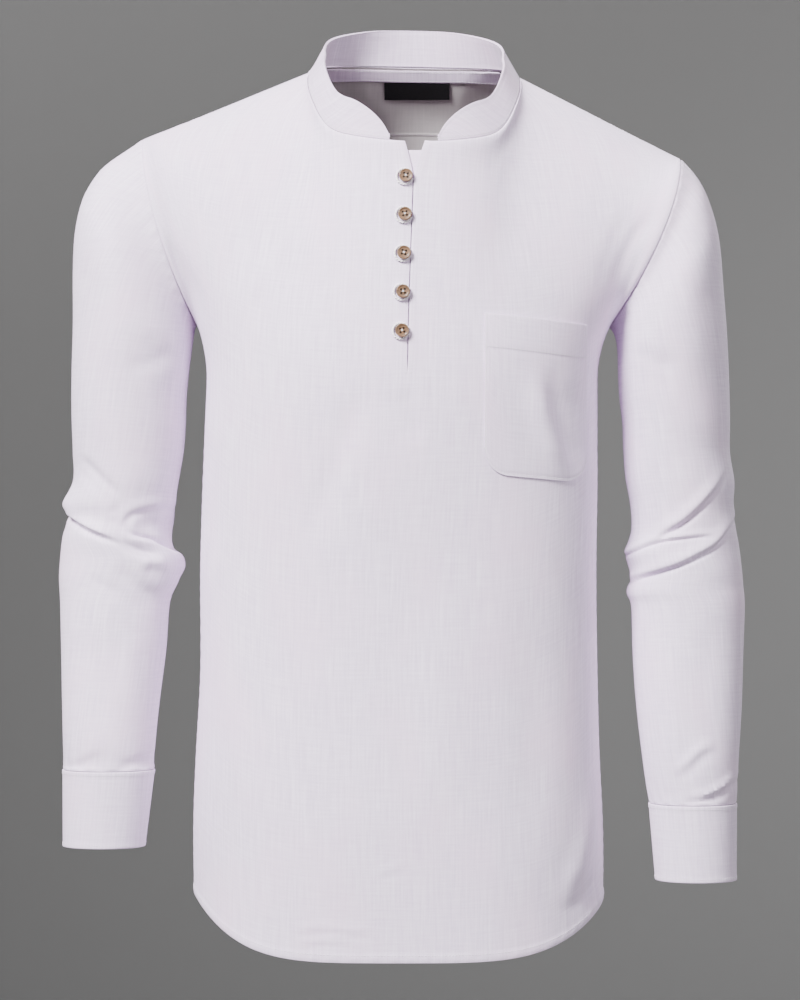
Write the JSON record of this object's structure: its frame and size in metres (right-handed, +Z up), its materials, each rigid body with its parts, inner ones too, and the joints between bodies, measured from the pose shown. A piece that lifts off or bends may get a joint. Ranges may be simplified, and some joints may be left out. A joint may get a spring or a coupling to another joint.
{
  "type": "kurta tunic",
  "caption": "Short cotton kurta with a stand collar, looped slit front, chest pocket, buttoned cuffs and curved shirt-tail hem.",
  "frame": {"origin": "middle of the garment at shoulder level, where the wearer's shoulders and neck hold it", "axes": "+X to the wearer's left, -Y out of the front, +Z up towards the collar"},
  "size_m": [0.592, 0.2484, 0.7999],
  "materials": {
    "cloth": "matte",
    "cord": "matte",
    "wood": "satin",
    "label": "satin"
  },
  "bodies": {
    "root": {"front": "cloth", "back": "cloth", "yoke": "cloth", "collar": "cloth", "neck_tape": "cloth", "underlap": "cloth", "pocket": "cloth", "sleeve_right": "cloth", "sleeve_left": "cloth", "sleeve_placket_right": "cloth", "sleeve_placket_left": "cloth", "cuff_right": "cloth", "cuff_left": "cloth", "label": "label", "button_1": "wood", "button_2": "wood", "button_3": "wood", "button_4": "wood", "button_5": "wood", "cuff_button_right": "wood", "cuff_button_left": "wood", "loop_1": "cord", "loop_2": "cord", "loop_3": "cord", "loop_4": "cord", "loop_5": "cord"}
  },
  "joints": []
}
